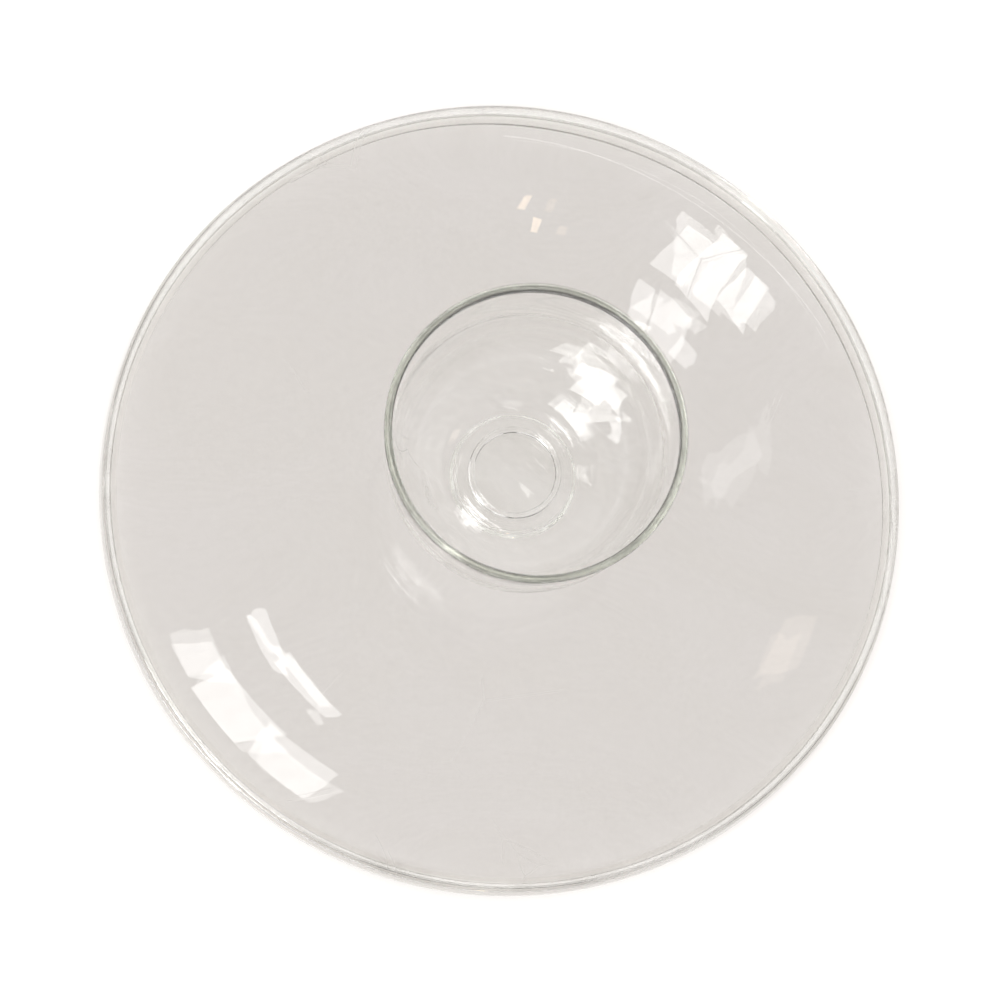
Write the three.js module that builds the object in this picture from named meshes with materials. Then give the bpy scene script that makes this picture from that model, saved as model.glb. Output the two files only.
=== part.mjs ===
// A clear glass bell cover: a wide, shallow blown dome with a rolled foot edge, and on its crown
// a short neck that opens into a cup-shaped handle. Millimetres, +Z up, origin at the middle of
// the circle that the cover stands on.
import * as THREE from 'three';

// Driving dimensions.
const RIM_RADIUS = 140;
const ROLL_WIDTH = 6;
const ROLL_HEIGHT = 8;
const DOME_RISE = 30;
const DOME_FULLNESS = 2.5;
const DOME_WALL = 3;
const NECK_RADIUS = 20;
const NECK_FOOT_RADIUS = 27;
const NECK_HEIGHT = 4.5;
const CUP_RADIUS = 51;
const CUP_BEND_RADIUS = 48.3;
const CUP_HEIGHT = 67;
const CUP_SIDE_HEIGHT = 25;
const CUP_WALL = 2.6;
const CUP_FLAT_RADIUS = 17;
const LIP_WIDTH = 3;
const LIP_HEIGHT = 3;
const SCAR_RADIUS = 17;
const SCAR_SIZE = 2;
const GAP = 0.3;
const SEGMENTS = 60;

// Levels, from the standing face upwards.
const domeEdgeZ = ROLL_HEIGHT + GAP;
const crownZ = domeEdgeZ + DOME_RISE;
const neckTopZ = crownZ + GAP + NECK_HEIGHT;
const cupFloorZ = neckTopZ + GAP;
const cupTopZ = cupFloorZ + CUP_HEIGHT;
const lipFloorZ = cupTopZ + GAP;

// One outline of [radius, height] points, turned round the Z axis.
function revolve(outline, segments = SEGMENTS) {
  const points = outline.map(([radius, height]) => new THREE.Vector2(radius, height));
  const geometry = new THREE.LatheGeometry(points, segments);
  geometry.rotateX(Math.PI / 2);
  return geometry;
}

// Points along a stretch of an ellipse, from angle a to angle b in degrees.
function ellipseArc(centreR, centreZ, radiusR, radiusZ, a, b, steps) {
  const points = [];
  for (let i = 0; i <= steps; i += 1) {
    const angle = THREE.MathUtils.degToRad(a + ((b - a) * i) / steps);
    points.push([centreR + radiusR * Math.cos(angle), centreZ + radiusZ * Math.sin(angle)]);
  }
  return points;
}

function curvePoints(curve, steps) {
  return curve.getPoints(steps).map((point) => [point.x, point.y]);
}

// A ring section with a flat underside, an oval top and rounded lower corners.
function ringOutline(middleR, floorZ, width, height, corner) {
  const half = width / 2;
  const top = ellipseArc(middleR, floorZ + corner, half, height - corner, 0, 180, 6);
  const left = ellipseArc(middleR - half + corner, floorZ + corner, corner, corner, 180, 270, 2);
  const right = ellipseArc(middleR + half - corner, floorZ + corner, corner, corner, 270, 360, 2);
  return [...top, ...left.slice(1), ...right];
}

// Half of a bell's section from edge to crown: (r / radius)^fullness + (z / rise)^2 = 1, which is
// an ellipse at a fullness of 2 and has a flatter crown and a rounder shoulder above that.
function bellArc(radius, rise, steps) {
  const points = [];
  for (let i = 0; i < steps; i += 1) {
    const angle = (Math.PI / 2) * (i / steps);
    points.push([radius * Math.cos(angle) ** (2 / DOME_FULLNESS), domeEdgeZ + rise * Math.sin(angle)]);
  }
  return [...points, [0, domeEdgeZ + rise]];
}

// The blown bell: an outer and an inner bell section, a wall apart.
function domeShell() {
  const outerR = RIM_RADIUS - 0.5;
  const outer = bellArc(outerR, DOME_RISE, 16);
  const inner = bellArc(outerR - DOME_WALL, DOME_RISE - DOME_WALL, 16);
  return revolve([...inner.reverse(), ...outer]);
}

// The rolled edge that the cover stands on, ground flat underneath.
function rimRoll() {
  return revolve(ringOutline(RIM_RADIUS - ROLL_WIDTH / 2, 0, ROLL_WIDTH, ROLL_HEIGHT, 1.2));
}

// The wafer of glass between the crown and the handle, with a waist.
function neckCollar() {
  const footZ = crownZ + GAP;
  const waistZ = footZ + NECK_HEIGHT * 0.55;
  const flare = curvePoints(new THREE.CubicBezierCurve(
    new THREE.Vector2(NECK_FOOT_RADIUS, footZ),
    new THREE.Vector2(NECK_RADIUS + 1.5, footZ + 1),
    new THREE.Vector2(NECK_RADIUS, waistZ - 2),
    new THREE.Vector2(NECK_RADIUS, waistZ),
  ), 5);
  return revolve([[0, footZ], ...flare, [NECK_RADIUS + 1, neckTopZ], [0, neckTopZ]]);
}

// Middle line of the handle's wall: a round bowl that starts flat, then an almost upright collar.
function cupMiddleLine() {
  const half = CUP_WALL / 2;
  const bendZ = cupTopZ - CUP_SIDE_HEIGHT;
  const bendR = CUP_BEND_RADIUS - half;
  const path = new THREE.Path();
  path.moveTo(0, cupFloorZ + half);
  path.lineTo(CUP_FLAT_RADIUS, cupFloorZ + half);
  path.bezierCurveTo(
    CUP_FLAT_RADIUS + 14, cupFloorZ + half,
    bendR, bendZ - 27,
    bendR, bendZ,
  );
  path.lineTo(CUP_RADIUS - half, cupTopZ);
  return path;
}

// The blown cup, its wall half a thickness to each side of the middle line.
function handleCup() {
  const steps = 8;
  const line = cupMiddleLine().getPoints(steps);
  const outer = [];
  const inner = [];
  line.forEach((point, i) => {
    const before = line[Math.max(i - 1, 0)];
    const after = line[Math.min(i + 1, line.length - 1)];
    const along = after.clone().sub(before).normalize();
    const aside = new THREE.Vector2(along.y, -along.x).multiplyScalar(CUP_WALL / 2);
    outer.push([Math.max(point.x + aside.x, 0), point.y + aside.y]);
    inner.push([Math.max(point.x - aside.x, 0), point.y - aside.y]);
  });
  inner[inner.length - 1][1] = cupTopZ;
  outer[outer.length - 1][1] = cupTopZ;
  return revolve([...outer, ...inner.reverse()]);
}

// The thick rounded edge of the handle.
function handleLip() {
  return revolve(ringOutline(CUP_RADIUS + 0.4 - LIP_WIDTH / 2, lipFloorZ, LIP_WIDTH, LIP_HEIGHT, 0.8));
}

// The raised ring left on the floor of the handle, where the blower's iron came away.
function pontilRing() {
  const floorZ = cupFloorZ + CUP_WALL + GAP;
  return revolve(ringOutline(SCAR_RADIUS - SCAR_SIZE, floorZ, SCAR_SIZE, 1.2, 0.3), 36);
}

const GLASS = { roughness: 0.06, metalness: 0, transparent: true };

const PIECES = [
  ['dome_shell', domeShell, 0xd8d4cf, 0.35],
  ['rim_roll', rimRoll, 0xcfcfc2, 0.55],
  ['neck_collar', neckCollar, 0xd6d5ca, 0.5],
  ['handle_cup', handleCup, 0xd5d3c6, 0.4],
  ['handle_lip', handleLip, 0xb9bda0, 0.6],
  ['pontil_ring', pontilRing, 0xe2e0da, 0.6],
];

const cover = new THREE.Group();
for (const [name, makeGeometry, color, opacity] of PIECES) {
  const material = new THREE.MeshStandardMaterial({ ...GLASS, color, opacity });
  const piece = new THREE.Mesh(makeGeometry(), material);
  piece.name = name;
  cover.add(piece);
}

export default cover;
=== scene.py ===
# %% [markdown]
# A clear glass bell cover, modelled round its CAD frame.
# The real one is blown glass: a wide shallow bell on a rolled edge, with a short neck and an
# open cup for a handle. Every piece is turned about one upright axis, so every piece here is a
# section carried round that axis, with the small waves that hand work leaves in the wall.

# %% Load the frame
import math
import bpy
import numpy as np
from mathutils import Matrix, Vector


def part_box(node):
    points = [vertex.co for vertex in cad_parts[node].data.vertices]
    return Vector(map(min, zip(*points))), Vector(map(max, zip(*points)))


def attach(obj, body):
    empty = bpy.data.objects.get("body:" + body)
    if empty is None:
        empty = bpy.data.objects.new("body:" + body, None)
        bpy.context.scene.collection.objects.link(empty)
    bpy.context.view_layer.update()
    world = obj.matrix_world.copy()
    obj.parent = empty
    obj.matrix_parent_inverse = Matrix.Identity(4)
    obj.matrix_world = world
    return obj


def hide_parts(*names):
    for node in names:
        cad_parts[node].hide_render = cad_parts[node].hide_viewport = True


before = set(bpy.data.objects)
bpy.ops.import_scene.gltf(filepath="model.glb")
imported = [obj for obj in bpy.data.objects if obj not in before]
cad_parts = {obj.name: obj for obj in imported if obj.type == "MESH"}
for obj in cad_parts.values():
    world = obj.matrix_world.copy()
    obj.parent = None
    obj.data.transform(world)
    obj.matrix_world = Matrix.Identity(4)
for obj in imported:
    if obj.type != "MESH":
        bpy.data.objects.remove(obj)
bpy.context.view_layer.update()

# %% [markdown]
# All sizes come from the frame, so the glass stays in step with the CAD model. A node's box
# gives its radius and its lowest and highest level, in metres. The frame leaves FRAME_GAP between
# its bodies; the glass closes that to SEAM, because the real joints are fused. What a box can't
# tell, such as the wall, is a named size here.

# %% Sizes from the frame
MM = 0.001


def levels(node):
    """Radius, lowest and highest level of a node, from its box."""
    low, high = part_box(node)
    return high.x, low.z, high.z


dome_r, dome_low, dome_top = levels("dome_shell")
rim_r, rim_low, rim_top = levels("rim_roll")
neck_r, _, neck_top = levels("neck_collar")
_, _, cup_top = levels("handle_cup")
lip_r, lip_low, lip_top = levels("handle_lip")
scar_r, scar_low, scar_top = levels("pontil_ring")
CUP_WALL = 2.6 * MM
EDGE_WALL = 2.8 * MM
CROWN_WALL = 3.3 * MM
ROLL_WIDTH = 6 * MM
CUP_RADIUS = 51 * MM
WAIST_RADIUS = 20 * MM
FRAME_GAP = 0.3 * MM
SEAM = 0.02 * MM
print("rim radius", round(rim_r, 4), "height", round(lip_top, 4))

# %% [markdown]
# Hand-blown glass is never a perfect turned form. Fine rings are left by the tools while the
# piece spins, and slow swells by the pull of gravity on hot glass. Both are added here as
# fractions of a millimetre of real displacement, because a highlight shows them at once.

# %% Waves in the glass
SWELLS = 12
SWELL_PITCH = (45, 140)
SWELL_SIZE = (0.02, 0.07)
WIDE_RING_PITCH = 10.5 * MM
FINE_RING_PITCH = 6.7 * MM
RING_SIZE = 0.012 * MM


def hand_waves(radius, angle, seed):
    """Displacement in metres at each (radius, angle).

    The sum of twelve slow waves that run both ways round and outwards, each a sine with its own
    whole number of turns, radial pitch and phase, plus fine turning rings whose phase drifts
    slowly with the angle.
    """
    rng = np.random.default_rng(seed)
    total = np.zeros_like(radius * angle)
    for _ in range(SWELLS):
        turns = rng.integers(0, 7)
        pitch = rng.uniform(*SWELL_PITCH) * MM
        phase = rng.uniform(0, 2 * math.pi)
        size = rng.uniform(*SWELL_SIZE) * MM
        total = total + size * np.sin(turns * angle + 2 * math.pi * radius / pitch + phase)
    drift = 1.3 * np.sin(angle + seed) + 0.7 * np.sin(3 * angle + 2 * seed)
    rings = np.sin(2 * math.pi * radius / WIDE_RING_PITCH + drift)
    rings = rings + 0.6 * np.sin(2 * math.pi * radius / FINE_RING_PITCH - 1.4 * drift)
    return total + RING_SIZE * rings


print("waves:", SWELLS, "swells, rings every", WIDE_RING_PITCH / MM, "and", FINE_RING_PITCH / MM, "mm")

# %% [markdown]
# Each piece is one section, a row of points given as radius and height, carried round the axis.
# A section that starts and ends on the axis gets one point there, and one that closes on itself
# becomes a ring. The points run anticlockwise with the axis on the left, so faces point outwards.

# %% Carry a section round the axis
TURN_STEPS = 288
CALM_RADIUS = 12 * MM


def turned_points(section, on_axis, seed, wave, steps, joints):
    """The points of a section (n x 2) turned round Z, as an n x steps x 3 grid.

    Point (i, j) is at radius r_i and angle t_j = 2 pi j / steps, moved along the section's own
    normal by hand_waves(r_i, t_j) times wave. The waves die away inside CALM_RADIUS, where the
    turns close up on the axis. joints holds (first, last) section indices that lie against a
    neighbour: they get no waves, so the two pieces keep an even seam.
    """
    count = len(section)
    before = section[np.r_[0, 0:count - 1]] if on_axis else np.roll(section, 1, 0)
    after = section[np.r_[1:count, count - 1]] if on_axis else np.roll(section, -1, 0)
    along = after - before
    along = along / np.linalg.norm(along, axis=1, keepdims=True)
    outward = np.stack([along[:, 1], -along[:, 0]], 1)
    angle = np.arange(steps) * 2 * math.pi / steps
    ease = np.clip(section[:, :1] / CALM_RADIUS, 0, 1)
    for first, last in joints:
        ease[first:last + 1] = 0
    shift = hand_waves(section[:, :1], angle[None, :], seed) * wave * ease
    radius = section[:, :1] + outward[:, :1] * shift
    height = section[:, 1:] + outward[:, 1:] * shift
    return np.stack([radius * np.cos(angle), radius * np.sin(angle), height + 0 * angle], 2)


print("turned in", TURN_STEPS, "steps, calm inside", CALM_RADIUS / MM, "mm")

# %% [markdown]
# Four neighbours in the grid of points make one face. On the axis a whole turn of points is one
# point, so a face there names a corner twice, and the second mention is dropped.

# %% Make the piece
ON_AXIS = 1e-9


def turned_piece(name, section, seed=1, wave=1.0, steps=TURN_STEPS, joints=()):
    """A closed piece from a section (n x 2), turned round Z: the rest is as in turned_points."""
    section = np.asarray(section, float)
    on_axis = section[0, 0] < ON_AXIS
    count = len(section)
    points = turned_points(section, on_axis, seed, wave, steps, joints)
    number = np.arange(count * steps).reshape(count, steps)
    if on_axis:
        number[0] = 0
        number[1:] = 1 + np.arange((count - 1) * steps).reshape(count - 1, steps)
        number[-1] = number[-1, 0]
        flat = points.reshape(-1, 3)
        flat = np.concatenate([flat[:1], flat[steps:steps * (count - 1) + 1]])
        flat[0, :2] = 0
        flat[-1, :2] = 0
        lower, upper = number[:-1], number[1:]
    else:
        flat = points.reshape(-1, 3)
        lower, upper = number, np.roll(number, -1, 0)
    quads = np.stack([lower, np.roll(lower, -1, 1), np.roll(upper, -1, 1), upper], 2)
    quads = quads.reshape(-1, 4)
    faces = [list(dict.fromkeys(quad)) for quad in quads.tolist()]
    mesh = bpy.data.meshes.new(name)
    mesh.from_pydata(flat.tolist(), [], faces)
    mesh.polygons.foreach_set("use_smooth", np.ones(len(faces), bool))
    mesh.validate()
    mesh.update()
    piece = bpy.data.objects.new(name, mesh)
    bpy.context.scene.collection.objects.link(piece)
    print(name, len(mesh.vertices), "points", len(mesh.polygons), "faces")
    return piece

# %% [markdown]
# Sections are drawn from three kinds of stretch: an arc, a cubic curve and a straight line. The
# small numbers in millimetres that the pieces below hand to bezier are how far its handles reach.

# %% Stretches of a section
def arc(centre, radii, start, end, steps):
    """Points on an ellipse round centre, from angle start to end in degrees."""
    t = np.radians(np.linspace(start, end, steps + 1))
    return np.stack([centre[0] + radii[0] * np.cos(t), centre[1] + radii[1] * np.sin(t)], 1)


def bezier(p0, p1, p2, p3, steps):
    """Points on a cubic curve that leaves p0 towards p1 and arrives at p3 from p2."""
    t = np.linspace(0, 1, steps + 1)[:, None]
    p0, p1, p2, p3 = (np.array(p, float) for p in (p0, p1, p2, p3))
    return (1 - t) ** 3 * p0 + 3 * (1 - t) ** 2 * t * p1 + 3 * (1 - t) * t * t * p2 + t ** 3 * p3


def line(p0, p1, steps):
    """Evenly spaced points from p0 to p1."""
    return np.linspace(p0, p1, steps + 1)


def joined(*parts):
    """Stretches end to end, with each shared end point kept once, and each stretch's first index."""
    rows = [np.asarray(parts[0], float)]
    starts = [0]
    for part in parts[1:]:
        starts.append(sum(len(row) for row in rows) - 1)
        rows.append(np.asarray(part, float)[1:])
    return np.concatenate(rows), starts


print("a quarter arc in 4 steps has", len(arc((0, 0), (1, 1), 0, 90, 4)), "points")

# %% [markdown]
# The bell. Its section follows (r / radius) ^ 2.5 + (z / rise) ^ 2 = 1, which is a little flatter
# on the crown and rounder at the shoulder than an ellipse. The wall is a little thicker on the
# crown than at the edge. Other glass is fused on at the foot of the wall and in the middle of the
# crown.

# %% The bell
FULLNESS = 2.5


def bell_curve(radius, rise, steps):
    """Half a bell section from its edge to the crown, evenly stepped in the ellipse angle."""
    t = np.linspace(0, math.pi / 2, steps + 1)
    r = radius * np.cos(t) ** (2 / FULLNESS)
    r[-1] = 0
    return np.stack([r, dome_low + rise * np.sin(t)], 1)


def bell_height(radius):
    """Level of the bell's outer skin at a radius."""
    return dome_low + (dome_top - dome_low) * math.sqrt(1 - (radius / dome_r) ** FULLNESS)


BELL_STEPS = 110
NECK_SEAT = 0.8 * neck_r
rise = dome_top - dome_low
outer_skin = bell_curve(dome_r, rise, BELL_STEPS)
inner_skin = bell_curve(dome_r - EDGE_WALL, rise - CROWN_WALL, BELL_STEPS)[::-1]
outer_skin[0, 1] = rim_top + SEAM
inner_skin[-1, 1] = rim_top + SEAM
seat_index = int(np.argmin(abs(outer_skin[:, 0] - NECK_SEAT)))
NECK_SEAT = outer_skin[seat_index, 0]
bell_section, starts = joined(inner_skin, line(inner_skin[-1], outer_skin[0], 2), outer_skin)
bell_end = len(bell_section) - 1
bell = turned_piece(
    "glass_bell", bell_section, seed=4, wave=0.6,
    joints=[(starts[1], starts[2]), (starts[2] + seat_index, bell_end)],
)

# %% [markdown]
# The rolled edge. While the glass is hot the edge is turned under into a thick bead, and later
# the underside is ground flat so that the cover stands still. The bead is wider than the wall
# and swells inwards below it.

# %% The rolled edge
rim_middle = (rim_low + rim_top) / 2
wall_in = dome_r - EDGE_WALL
bead_in = rim_r - ROLL_WIDTH
FLAT_INSET_OUT = 2.0 * MM
FLAT_INSET_IN = 1.6 * MM
flat_out, flat_in = rim_r - FLAT_INSET_OUT, bead_in + FLAT_INSET_IN
rim_section, starts = joined(
    bezier((wall_in, rim_top), (wall_in - 0.4 * MM, rim_top - 1.8 * MM), (bead_in, rim_middle + 2 * MM),
           (bead_in, rim_middle - 0.6 * MM), 14),
    bezier((bead_in, rim_middle - 0.6 * MM), (bead_in, rim_low + 1 * MM), (bead_in + 0.6 * MM, rim_low),
           (flat_in, rim_low), 8),
    line((flat_in, rim_low), (flat_out, rim_low), 4),
    bezier((flat_out, rim_low), (rim_r - 0.7 * MM, rim_low), (rim_r, rim_low + 1 * MM),
           (rim_r, rim_middle - 0.6 * MM), 8),
    bezier((rim_r, rim_middle - 0.6 * MM), (rim_r, rim_middle + 1.5 * MM), (dome_r, rim_top - 1.5 * MM),
           (dome_r, rim_top), 8),
    line((dome_r, rim_top), (wall_in, rim_top), 2)[:-1],
)
rim = turned_piece("rolled_edge", rim_section, seed=7, wave=0.0, joints=[(starts[5], len(rim_section))])

# %% [markdown]
# The neck wafer. A blower drops a small gather of glass on the crown and presses the handle into
# it. It flares where it wets the bell and draws in to a waist, so its side is one smooth curve.

# %% The neck wafer
seat_out = outer_skin[seat_index:]
under_skin = seat_out[::-1] + [0, SEAM]
neck_section, starts = joined(
    under_skin,
    bezier(under_skin[-1], (WAIST_RADIUS + 1.2 * MM, bell_height(NECK_SEAT) + 0.6 * MM),
           (WAIST_RADIUS, neck_top - 2.2 * MM), (WAIST_RADIUS + 0.3 * MM, neck_top), 14),
    line((WAIST_RADIUS + 0.3 * MM, neck_top), (0, neck_top), 14),
)
neck = turned_piece(
    "neck_wafer", neck_section, seed=9, wave=0.2,
    joints=[(0, starts[1]), (starts[2], len(neck_section) - 1)],
)

# %% [markdown]
# The cup handle. Its wall is drawn as a middle line, a small flat floor that rounds up into a
# bowl and then an almost upright collar, and the two skins lie half a wall to each side of it.

# %% The cup
half = CUP_WALL / 2
BEND_RADIUS = 48.3 * MM
FLAT_RADIUS = 17 * MM
bend_mid = BEND_RADIUS - half
collar_mid = CUP_RADIUS - half
COLLAR_HEIGHT = 25 * MM
bend_z = cup_top - COLLAR_HEIGHT
floor_z = neck_top + FRAME_GAP + half
middle_line, _ = joined(
    line((0, floor_z), (FLAT_RADIUS, floor_z), 14),
    bezier((FLAT_RADIUS, floor_z), (FLAT_RADIUS + 14 * MM, floor_z), (bend_mid, bend_z - 27 * MM),
           (bend_mid, bend_z), 80),
    bezier((bend_mid, bend_z), (bend_mid, bend_z + 9 * MM),
           (collar_mid - 0.8 * MM, cup_top - 9 * MM), (collar_mid, cup_top), 30),
)


def two_skins(middle, outer_half, inner_half):
    """Outer skin from start to end, then the inner skin back again, each offset along the normal."""
    ahead = middle[np.r_[1:len(middle), len(middle) - 1]]
    behind = middle[np.r_[0, 0:len(middle) - 1]]
    along = ahead - behind
    along = along / np.linalg.norm(along, axis=1, keepdims=True)
    aside = np.stack([along[:, 1], -along[:, 0]], 1)
    outer = middle + aside * outer_half
    inner = middle - aside * inner_half
    outer[0, 0] = inner[0, 0] = 0
    return outer, inner[::-1]


cup_outer, cup_inner = two_skins(middle_line, half, half)
cup_outer[:, 1] = np.maximum(cup_outer[:, 1], neck_top + SEAM)
cup_outer[-1, 1] = cup_inner[0, 1] = cup_top
cup_section, starts = joined(cup_outer, line(cup_outer[-1], cup_inner[0], 2), cup_inner)
FLOOR_POINTS = 30
foot_index = int(np.argmin(abs(cup_outer[:FLOOR_POINTS, 0] - WAIST_RADIUS)))
cup = turned_piece(
    "cup_handle", cup_section, seed=12, wave=0.45,
    joints=[(0, foot_index), (starts[1], starts[2])],
)

# %% [markdown]
# The lip of the handle. Fire polishing melts the cut edge, and it draws up into a rounded bead
# that is thicker than the wall. It bends light more sharply than the wall does, so it is drawn
# as thin bright and dark lines.

# %% The lip
lip_in = cup_inner[0, 0]
lip_out = cup_outer[-1, 0]
bead_low = lip_low - FRAME_GAP + SEAM
BEAD_WIDTH = 2.8 * MM
bead_inner = lip_r - BEAD_WIDTH
lip_section, starts = joined(
    line((lip_in, bead_low), (lip_out, bead_low), 2),
    bezier((lip_out, bead_low), (lip_r, bead_low + 0.7 * MM), (lip_r, lip_top - 1.2 * MM),
           (lip_r - 0.8 * MM, lip_top - 0.3 * MM), 10),
    bezier((lip_r - 0.8 * MM, lip_top - 0.3 * MM), (lip_r - 1.3 * MM, lip_top + 0.1 * MM),
           (bead_inner + 1.0 * MM, lip_top), (bead_inner + 0.4 * MM, lip_top - 0.8 * MM), 10),
    bezier((bead_inner + 0.4 * MM, lip_top - 0.8 * MM), (bead_inner - 0.1 * MM, lip_top - 1.5 * MM),
           (lip_in - 0.1 * MM, bead_low + 0.8 * MM), (lip_in, bead_low), 10)[:-1],
)
lip = turned_piece("cup_lip", lip_section, seed=15, wave=0.1, joints=[(0, starts[1])])

# %% [markdown]
# The pontil ring. When the iron that held the piece is cracked off it leaves a rough ring of
# glass on the floor of the handle. It is a low bead, a little uneven all the way round.

# %% The pontil ring
SCAR_HALF = 1 * MM
scar_mid = scar_r - SCAR_HALF
scar_floor = scar_low - FRAME_GAP + SEAM
scar_section, starts = joined(
    line((scar_mid - SCAR_HALF, scar_floor), (scar_mid + SCAR_HALF, scar_floor), 2),
    arc((scar_mid, scar_floor), (SCAR_HALF, scar_top - scar_floor), 0, 180, 12)[:-1],
)
scar = turned_piece("pontil_scar", scar_section, seed=21, wave=1.0, steps=144, joints=[(0, starts[1])])

# %% [markdown]
# The glass. Clear glass is a refracting surface with a faint body colour: light that crosses a
# wall barely changes, while light that runs along inside a wall turns yellow-green. The body
# colour is a volume, so thickness sets it. A material is a chain of nodes, and the same few steps
# come back often, so they get short names first.

# %% A board for glass nodes
class GlassNodes:
    """Adds nodes to one glass material. seed shifts its noise, so no two glasses are marked alike."""

    def __init__(self, name, seed):
        self.material = bpy.data.materials.new(name)
        self.material.use_nodes = True
        self.material.node_tree.nodes.clear()
        self.seed = seed
        self.place = self.add("ShaderNodeTexCoord").outputs["Object"]

    def add(self, kind, **values):
        """A new node, with each value set on its socket, or on the node where it has no such socket."""
        made = self.material.node_tree.nodes.new(kind)
        for key, value in values.items():
            if key in made.inputs:
                made.inputs[key].default_value = value
            else:
                setattr(made, key, value)
        return made

    def link(self, source, target):
        """Joins an output to an input."""
        self.material.node_tree.links.new(source, target)


print("the board can:", [step for step in vars(GlassNodes) if not step.startswith("_")])

# %% [markdown]
# Four steps come back in every finish: a noise, a value stretched to a new range, a little
# arithmetic, and two shaders mixed.

# %% Steps that come back
def noise(kit, scale, detail, rough, distort, stretch=(1, 1, 1)):
    """Fractal noise on the piece's own coordinates, stretched by a mapping."""
    moved = kit.add("ShaderNodeMapping")
    moved.inputs["Location"].default_value = (kit.seed * 0.37, kit.seed * 0.61, kit.seed * 0.13)
    moved.inputs["Scale"].default_value = stretch
    kit.link(kit.place, moved.inputs["Vector"])
    made = kit.add(
        "ShaderNodeTexNoise", Scale=scale, Detail=detail, Roughness=rough, Distortion=distort,
    )
    kit.link(moved.outputs["Vector"], made.inputs["Vector"])
    return made.outputs["Fac"]


def remap(kit, source, low, high, to_low, to_high):
    """Stretches a value between two limits to a new range, clamped."""
    made = kit.add("ShaderNodeMapRange")
    made.inputs["From Min"].default_value = low
    made.inputs["From Max"].default_value = high
    made.inputs["To Min"].default_value = to_low
    made.inputs["To Max"].default_value = to_high
    kit.link(source, made.inputs["Value"])
    return made.outputs["Result"]


def combine(kit, operation, first, second):
    """One arithmetic step on two values."""
    made = kit.add("ShaderNodeMath", operation=operation)
    kit.link(first, made.inputs[0])
    if isinstance(second, (int, float)):
        made.inputs[1].default_value = second
    else:
        kit.link(second, made.inputs[1])
    return made.outputs["Value"]


def blend(kit, share, first, second):
    """Two shaders mixed: share is how much of the second shows, a number or an output."""
    made = kit.add("ShaderNodeMixShader")
    if isinstance(share, (int, float)):
        made.inputs["Fac"].default_value = share
    else:
        kit.link(share, made.inputs["Fac"])
    kit.link(first, made.inputs[1])
    kit.link(second, made.inputs[2])
    return made.outputs["Shader"]


print("steps:", [step.__name__ for step in (noise, remap, combine, blend)])

# %% [markdown]
# Handling leaves a cloudy film, fine curved scratches and a slow unevenness. The scratches are the
# thin borders between the cells of a Voronoi pattern, kept only where a noise says that the glass
# is worn. Both they and the slow swell are given to the light as bumps, not as geometry, because
# they are far finer than the mesh.

# %% Marks of handling
SCRATCH_SCALE = 17.0
SCRATCH_WIDTH = 0.004
SCRATCH_ROUGHNESS = 0.35
SCRATCH_DEPTH = 0.1 * MM
SWELL_DEPTH = 0.6 * MM


def scratches_in(kit):
    """1 on a scratch and 0 off it."""
    cells = kit.add("ShaderNodeTexVoronoi", feature="DISTANCE_TO_EDGE", Scale=SCRATCH_SCALE)
    kit.link(kit.place, cells.inputs["Vector"])
    fine_line = remap(kit, cells.outputs["Distance"], 0.0, SCRATCH_WIDTH, 1.0, 0.0)
    worn_area = remap(kit, noise(kit, 21, 2, 0.5, 0.0), 0.58, 0.62, 0.0, 1.0)
    return combine(kit, "MULTIPLY", fine_line, worn_area)


def relief(kit, scratches, film):
    """The surface direction, with the slow swell first and the scratches cut into it."""
    swell = kit.add("ShaderNodeBump", Strength=0.05 * film, Distance=SWELL_DEPTH)
    kit.link(noise(kit, 34, 3, 0.5, 0.6), swell.inputs["Height"])
    cut = kit.add("ShaderNodeBump", Strength=0.25, Distance=SCRATCH_DEPTH, invert=True)
    kit.link(scratches, cut.inputs["Height"])
    kit.link(swell.outputs["Normal"], cut.inputs["Normal"])
    return cut.outputs["Normal"]


print("scratches:", SCRATCH_DEPTH / MM, "mm deep, swell:", SWELL_DEPTH / MM, "mm")

# %% [markdown]
# The steep shoulder and the edge would come out brighter than the rest, because they bend the
# light towards the pale room. A grey painted into the base colour holds them down: this is painted
# shade, not a colour of the glass. The distance from the axis is the length of (x, y), and between
# two shares of the rim radius the colour goes from clear to the painted edge shade.

# %% Tone of the skin, with painted shade at the edge
EDGE_FROM = 0.958
EDGE_TO = 0.980
CLEAR = (1.0, 1.0, 1.0)
CLOUD_TONE = (0.91, 0.905, 0.90, 1)


def cloud_tone_and_painted_shade(kit, edge_painted_shade, cloudy):
    """Clear in the middle, darkened by painted shade towards the edge, and a little duller where it is
    cloudy.
    """
    flat_place = kit.add("ShaderNodeMapping")
    flat_place.inputs["Scale"].default_value = (1, 1, 0)
    kit.link(kit.place, flat_place.inputs["Vector"])
    reach = kit.add("ShaderNodeVectorMath", operation="LENGTH")
    kit.link(flat_place.outputs["Vector"], reach.inputs[0])
    # Painted shade: the base colour darkens from clear to the edge grey near the rim, standing in for
    # shade.
    painted_edge_shade = kit.add("ShaderNodeMix", data_type="RGBA")
    painted_edge_shade.inputs["A"].default_value = (*CLEAR, 1)
    painted_edge_shade.inputs["B"].default_value = (*edge_painted_shade, 1)
    near_edge = remap(kit, reach.outputs["Value"], EDGE_FROM * rim_r, EDGE_TO * rim_r, 0.0, 1.0)
    kit.link(near_edge, painted_edge_shade.inputs["Factor"])
    tone = kit.add("ShaderNodeMix", data_type="RGBA")
    tone.inputs["B"].default_value = CLOUD_TONE
    kit.link(cloudy, tone.inputs["Factor"])
    kit.link(painted_edge_shade.outputs["Result"], tone.inputs["A"])
    return tone.outputs["Result"]


print("edge tone from", round(EDGE_FROM * rim_r / MM, 1), "to", round(EDGE_TO * rim_r / MM, 1), "mm")

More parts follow.
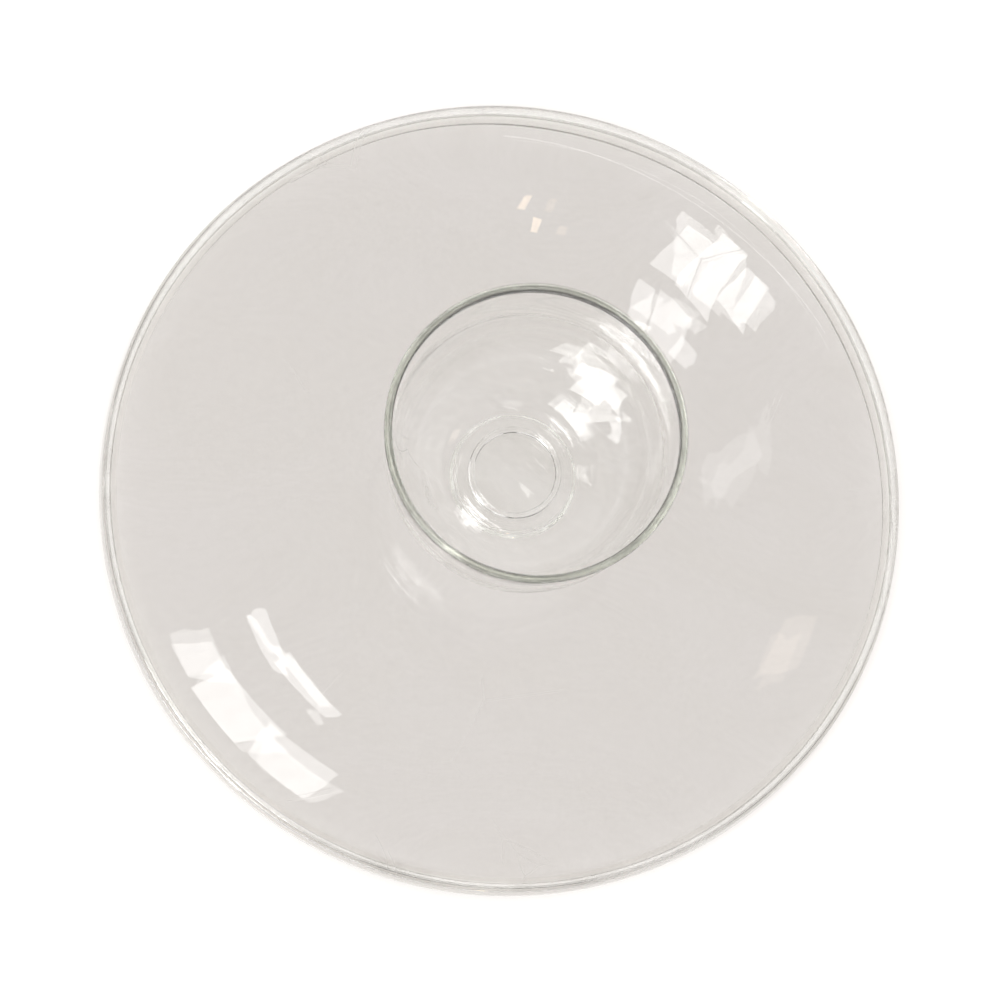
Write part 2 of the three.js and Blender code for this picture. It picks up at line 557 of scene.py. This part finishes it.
# %% [markdown]
# Dirt gathers as dark specks in the worn lip. They are the middles of very small Voronoi cells,
# and a broad noise thins them out to a few.

# %% Dirt specks
SPECK_SCALE = 170.0
SPECK_EDGE = 0.35
GRIME = (0.05, 0.048, 0.035, 1)


def with_specks(kit, surface, specks):
    """The surface with dirt spots on it: a larger specks leaves more of them."""
    cells = kit.add("ShaderNodeTexVoronoi", Scale=SPECK_SCALE)
    kit.link(kit.place, cells.inputs["Vector"])
    spots = remap(kit, cells.outputs["Distance"], 0.0, 0.16, 1.0, 0.0)
    few = remap(kit, noise(kit, 31, 1, 0.5, 0.0), 0.62 - specks, 0.66 - specks, 0.0, 1.0)
    grime = kit.add("ShaderNodeBsdfDiffuse")
    grime.inputs["Color"].default_value = GRIME
    dotted = combine(kit, "MULTIPLY", combine(kit, "GREATER_THAN", spots, SPECK_EDGE), few)
    return blend(kit, dotted, surface, grime.outputs["BSDF"])


print("specks: cells of about", round(1000 / SPECK_SCALE, 1), "mm")

# %% [markdown]
# A renderer finds it hard to send lamp light through a bent wall, and leaves the floor under it
# far too dark. So light on its way between a lamp and a dull surface passes straight through,
# and only loses what lamp_through says. The other light is bent as glass bends it.

# %% Lamps shine through
def with_lamps_through(kit, surface, lamp_through):
    """The surface as seen, but a tinted clear sheet for light that goes between lamp and floor."""
    through = kit.add("ShaderNodeBsdfTransparent")
    through.inputs["Color"].default_value = (*lamp_through, 1)
    ray = kit.add("ShaderNodeLightPath")
    soft_ray = combine(kit, "MAXIMUM", ray.outputs["Is Shadow Ray"], ray.outputs["Is Diffuse Ray"])
    return blend(kit, soft_ray, surface, through.outputs["BSDF"])


print("lamps pass straight through, and everything else is bent")

# %% [markdown]
# A whole glass is the bent-light surface, then dust, then specks, then the part that crosses it
# without bending, and last the way for the lamps. The volume gives the body its colour.

# %% Put a glass together
REFRACTION = 1.5
DUST = (0.72, 0.70, 0.67, 1)
DUST_SHARE = 0.12
STREAK_ROUGHNESS = 0.04


def clear_glass(name, body, density, edge_painted_shade, lamp_through, film, seed, specks=0.0, faint=0.0):
    """A glass material.

    The edge argument is the painted shade that each skin's base colour takes at the outermost edge,
    lamp_through what it lets pass of a lamp's light, film how cloudy its surface is, specks how
    many dirt spots it has, and faint the share of light that crosses it without bending.
    """
    kit = GlassNodes(name, seed)
    cloudy = remap(kit, noise(kit, 11, 7, 0.62, 1.6, (1, 1.7, 1)), 0.35, 0.75, 0.0, 1.0)
    streaks = noise(kit, 60, 4, 0.6, 0.4, (1, 0.12, 1))
    scratches = scratches_in(kit)
    dull_streaks = remap(kit, streaks, 0.5, 0.8, 0.0, film * STREAK_ROUGHNESS)
    roughness = combine(kit, "ADD", combine(kit, "MULTIPLY", scratches, SCRATCH_ROUGHNESS), dull_streaks)

    glass = kit.add("ShaderNodeBsdfPrincipled", IOR=REFRACTION)
    glass.inputs["Transmission Weight"].default_value = 1.0
    kit.link(cloud_tone_and_painted_shade(kit, edge_painted_shade, cloudy), glass.inputs["Base Color"])
    kit.link(roughness, glass.inputs["Roughness"])
    kit.link(relief(kit, scratches, film), glass.inputs["Normal"])

    dust = kit.add("ShaderNodeBsdfDiffuse")
    dust.inputs["Color"].default_value = DUST
    dust_amount = combine(kit, "MULTIPLY", cloudy, film * DUST_SHARE)
    surface = blend(kit, dust_amount, glass.outputs["BSDF"], dust.outputs["BSDF"])
    if specks:
        surface = with_specks(kit, surface, specks)
    if faint:
        straight = kit.add("ShaderNodeBsdfTransparent")
        surface = blend(kit, faint, surface, straight.outputs["BSDF"])

    volume = kit.add("ShaderNodeVolumeAbsorption", Density=density)
    volume.inputs["Color"].default_value = (*body, 1)
    output = kit.add("ShaderNodeOutputMaterial")
    kit.link(with_lamps_through(kit, surface, lamp_through), output.inputs["Surface"])
    kit.link(volume.outputs["Volume"], output.inputs["Volume"])
    return kit.material


print("refraction", REFRACTION)

# %% [markdown]
# The four finishes are one glass with small changes. The bell carries most of the film and is the
# greyest, partly from painted shade on its shoulder; the rim has painted shade at its outer edge and
# is otherwise cleaner, like the handle, and the lip is the clearest and has the dirt specks.
# The tones are given here. BELL_THROUGH is darker than real clear glass, which would hardly show
# on white paper.

# %% Finishes
BELL_BODY = (0.74, 0.78, 0.62)
BODY = (0.72, 0.79, 0.50)
HANDLE_DENSITY = 2.2
BELL_THROUGH = (0.772, 0.757, 0.752)
RIM_THROUGH = (0.98, 0.975, 0.975)
# The next two greys are painted shade: they darken the base colour of the rim and of the bell near the
# outer edge.
EDGE_PAINTED_SHADE = (0.88, 0.865, 0.855)
SHOULDER_PAINTED_SHADE = (0.66, 0.645, 0.63)
FINISHES = {
    "dome_glass": dict(
        body=BELL_BODY, density=11, edge_painted_shade=SHOULDER_PAINTED_SHADE, lamp_through=BELL_THROUGH, film=1.0, seed=3,
    ),
    "rim_glass": dict(
        body=BODY, density=4, edge_painted_shade=EDGE_PAINTED_SHADE, lamp_through=RIM_THROUGH, film=0.12, seed=5,
    ),
    "handle_glass": dict(
        body=BODY, density=HANDLE_DENSITY, edge_painted_shade=CLEAR, lamp_through=CLEAR, film=0.4, seed=8,
    ),
    "lip_glass": dict(
        body=BODY, density=HANDLE_DENSITY, edge_painted_shade=CLEAR, lamp_through=CLEAR, film=0.15, seed=8,
        specks=0.04, faint=0.8,
    ),
}
glasses = {name: clear_glass(name, **values) for name, values in FINISHES.items()}
print("finishes:", sorted(glasses))

# %% [markdown]
# Each piece is tied to the one body of the frame, stands for its CAD node, and takes its finish.

# %% Tie the pieces to the frame
PIECES = [
    (bell, "dome_shell", "dome_glass", "dome_glass"),
    (rim, "rim_roll", "rim_glass", "rim_glass"),
    (neck, "neck_collar", "handle_glass", "handle_glass"),
    (cup, "handle_cup", "handle_glass", "handle_glass"),
    (lip, "handle_lip", "handle_glass", "lip_glass"),
    (scar, "pontil_ring", "handle_glass", "handle_glass"),
]
for piece, cad_node, slot, finish in PIECES:
    piece.data.materials.append(glasses[finish])
    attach(piece, "root")
    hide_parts(cad_node)
    print(piece.name, "stands for", cad_node, "in", finish)

# %% [markdown]
# The floor is a wide sheet of pale paper. It is lit until it is just white, so that clear glass
# shows against it by what it takes away.

# %% The floor
FLOOR_HALF = 12.0
FLOOR_DROP = 0.2 * MM
PAPER_DARK = (0.84, 0.83, 0.82, 1)
PAPER_LIGHT = (0.88, 0.87, 0.86, 1)
floor_mesh = bpy.data.meshes.new("paper_floor")
corners = [(-1, -1), (1, -1), (1, 1), (-1, 1)]
floor_points = [(x * FLOOR_HALF, y * FLOOR_HALF, -FLOOR_DROP) for x, y in corners]
floor_mesh.from_pydata(floor_points, [], [(0, 1, 2, 3)])
floor = bpy.data.objects.new("paper_floor", floor_mesh)
bpy.context.scene.collection.objects.link(floor)
paper = bpy.data.materials.new("pale_paper")
paper.use_nodes = True
paper_nodes, paper_links = paper.node_tree.nodes, paper.node_tree.links
paper_shader = paper_nodes["Principled BSDF"]
paper_shader.inputs["Roughness"].default_value = 0.9
paper_shader.inputs["Specular IOR Level"].default_value = 0.0
mottle = paper_nodes.new("ShaderNodeTexNoise")
mottle.inputs["Scale"].default_value = 9
mottle.inputs["Detail"].default_value = 6
place = paper_nodes.new("ShaderNodeTexCoord")
paper_links.new(place.outputs["Object"], mottle.inputs["Vector"])
shade = paper_nodes.new("ShaderNodeMix")
shade.data_type = "RGBA"
shade.inputs["A"].default_value = PAPER_DARK
shade.inputs["B"].default_value = PAPER_LIGHT
paper_links.new(mottle.outputs["Fac"], shade.inputs["Factor"])
paper_links.new(shade.outputs["Result"], paper_shader.inputs["Base Color"])
floor_mesh.materials.append(paper)
print("floor:", 2 * FLOOR_HALF, "m square")

# %% [markdown]
# Light has to cross many walls before it leaves this piece, and it turns dark wherever the
# renderer gives up too soon, so the limits on its bounces are high.

# %% Bounces
scene = bpy.context.scene
scene.view_settings.view_transform = "Standard"
GLASS_BOUNCES = 40
scene.cycles.max_bounces = GLASS_BOUNCES
scene.cycles.transmission_bounces = GLASS_BOUNCES
scene.cycles.transparent_max_bounces = GLASS_BOUNCES
scene.cycles.glossy_bounces = 12
print("bounces:", GLASS_BOUNCES)

# %% [markdown]
# A pale room fills the shade. It is brightest at the horizon, which keeps the rim and the low
# views light, and dimmer overhead, so that the windows stand out in the reflections. Light that
# has come through glass sees it pale all over, which keeps the thick edges from turning dark.

# %% The room
ROOM_COLOUR = (1.0, 0.985, 0.965, 1)
HORIZON_HEIGHT = 0.05
OVERHEAD_HEIGHT = 0.60
HORIZON_LEVEL = 0.95
OVERHEAD_LEVEL = 0.40
world = bpy.data.worlds.new("pale_room")
world.use_nodes = True
sky_nodes, sky_links = world.node_tree.nodes, world.node_tree.links
sky_nodes["Background"].inputs["Color"].default_value = ROOM_COLOUR
direction = sky_nodes.new("ShaderNodeTexCoord")
parts = sky_nodes.new("ShaderNodeSeparateXYZ")
level = sky_nodes.new("ShaderNodeMapRange")
level.inputs["From Min"].default_value = HORIZON_HEIGHT
level.inputs["From Max"].default_value = OVERHEAD_HEIGHT
level.inputs["To Min"].default_value = HORIZON_LEVEL
level.inputs["To Max"].default_value = OVERHEAD_LEVEL
sky_links.new(direction.outputs["Generated"], parts.inputs["Vector"])
sky_links.new(parts.outputs["Z"], level.inputs["Value"])
ray_kind = sky_nodes.new("ShaderNodeLightPath")
strength = sky_nodes.new("ShaderNodeMix")
strength.inputs["B"].default_value = HORIZON_LEVEL
sky_links.new(level.outputs["Result"], strength.inputs["A"])
sky_links.new(ray_kind.outputs["Is Transmission Ray"], strength.inputs["Factor"])
sky_links.new(strength.outputs["Result"], sky_nodes["Background"].inputs["Strength"])
scene.world = world
print("room:", HORIZON_LEVEL, "at the horizon,", OVERHEAD_LEVEL, "overhead")

# %% [markdown]
# A broad soft skylight lights the paper evenly. A sun lamp with a wide angle does that with no
# falloff. It is kept out of reflections and out of what is seen through glass, where it would
# show as a bright disc.

# %% The skylight
SKYLIGHT_ANGLE = math.radians(64)
SKYLIGHT_POWER = 1.95
skylight_data = bpy.data.lights.new("skylight", "SUN")
skylight_data.angle = SKYLIGHT_ANGLE
skylight_data.energy = SKYLIGHT_POWER
skylight = bpy.data.objects.new("skylight", skylight_data)
scene.collection.objects.link(skylight)
skylight.visible_glossy = False
skylight.visible_transmission = False
print("skylight:", SKYLIGHT_POWER)

# %% [markdown]
# Two tall windows on opposite sides draw the highlights, each a few panes with bars between them,
# and a few small lamps give the weaker ones. A lamp's direction is its azimuth round the axis and
# its angle from straight up. Its energy is radiance x pi x width x height.

# %% Window panes and lamps
PANE_DISTANCE = 3.0
PANES = [
    ("right_top_a", 57, 44, 0.17, 0.80, 4.6),
    ("right_top_b", 52.5, 46, 0.19, 1.10, 5.0),
    ("right_top_c", 47, 45.5, 0.17, 0.74, 4.8),
    ("right_middle_a", 58.5, 30.5, 0.07, 0.26, 4.5),
    ("right_middle_b", 54, 30.5, 0.15, 0.34, 4.2),
    ("right_middle_c", 50.5, 30.5, 0.10, 0.16, 4.0),
    ("right_bottom_a", 62, 23.5, 0.11, 0.16, 7.0),
    ("right_bottom_b", 57, 22.5, 0.15, 0.30, 7.5),
    ("right_bottom_c", 51, 22, 0.09, 0.20, 7.5),
    ("left_top_a", 201, 42, 0.32, 1.15, 4.0),
    ("left_top_b", 214, 43, 0.62, 1.40, 4.5),
    ("left_top_c", 231, 43, 0.60, 1.25, 4.5),
    ("left_bottom_a", 195, 18, 0.30, 0.17, 5.0),
    ("left_bottom_b", 213, 16, 0.42, 0.16, 5.0),
    ("soft_streak", 31, 27, 0.14, 0.45, 1.2),
    ("curtain_rail", 60, 62, 2.4, 0.03, 3.0),
    ("far_lamp", 352, 38, 0.35, 0.50, 1.3, 0.6),
    ("warm_bulb", 78, 37, 0.04, 0.12, 7.0, 1.0),
    ("warm_bulb_far", 74, 37, 0.04, 0.08, 2.0, 1.0),
]


def lamp(name, azimuth, zenith, width, height, radiance, warmth=0.0):
    """A soft rectangle that faces the cover from its direction, in degrees, at PANE_DISTANCE."""
    data = bpy.data.lights.new(name, "AREA")
    data.shape = "RECTANGLE"
    data.size, data.size_y = width, height
    data.energy = radiance * math.pi * width * height
    data.color = (1, 1 - 0.25 * warmth, 1 - 0.5 * warmth)
    made = bpy.data.objects.new(name, data)
    scene.collection.objects.link(made)
    a, z = math.radians(azimuth), math.radians(zenith)
    toward = Vector((math.sin(z) * math.cos(a), math.sin(z) * math.sin(a), math.cos(z)))
    across = Vector((-math.sin(a), math.cos(a), 0))
    facing = Matrix((across, toward.cross(across), toward)).transposed().to_4x4()
    made.matrix_world = Matrix.Translation(toward * PANE_DISTANCE) @ facing


for pane in PANES:
    lamp(*pane)
print("panes and lamps:", len(PANES))

# %% [markdown]
# The camera looks almost straight down from far off, through a long lens, so the rim is nearly a
# circle and the handle leans a little up and to the right of its middle. LEAN is the direction in
# the view that the axis points to, and RIM_SHARE the part of the view's width that the rim fills.
# A lens of sensor width x RIM_SHARE x distance / rim width gives that share.

# %% Camera
VIEW_TILT = math.radians(13.3)
VIEW_SIDE = math.radians(243)
VIEW_DISTANCE = 18 * rim_r
LEAN = math.radians(61.5)
RIM_SHARE = 0.803
camera_data = bpy.data.cameras.new("camera")
camera = bpy.data.objects.new("camera", camera_data)
scene.collection.objects.link(camera)
toward_camera = Vector((
    math.sin(VIEW_TILT) * math.cos(VIEW_SIDE),
    math.sin(VIEW_TILT) * math.sin(VIEW_SIDE),
    math.cos(VIEW_TILT),
))
axis = Vector((0, 0, 1))
axis_seen = (axis - toward_camera * axis.dot(toward_camera)).normalized()
beside_axis = toward_camera.cross(axis_seen)
right = axis_seen * math.cos(LEAN) - beside_axis * math.sin(LEAN)
up = axis_seen * math.sin(LEAN) + beside_axis * math.cos(LEAN)
turn = Matrix((right, up, toward_camera)).transposed().to_4x4()
camera.matrix_world = Matrix.Translation(toward_camera * VIEW_DISTANCE) @ turn
camera_data.lens = camera_data.sensor_width * RIM_SHARE * VIEW_DISTANCE / (2 * rim_r)
camera_data.clip_end = 100
scene.camera = camera
print("lens", round(camera_data.lens, 1), "mm")

# %% [markdown]
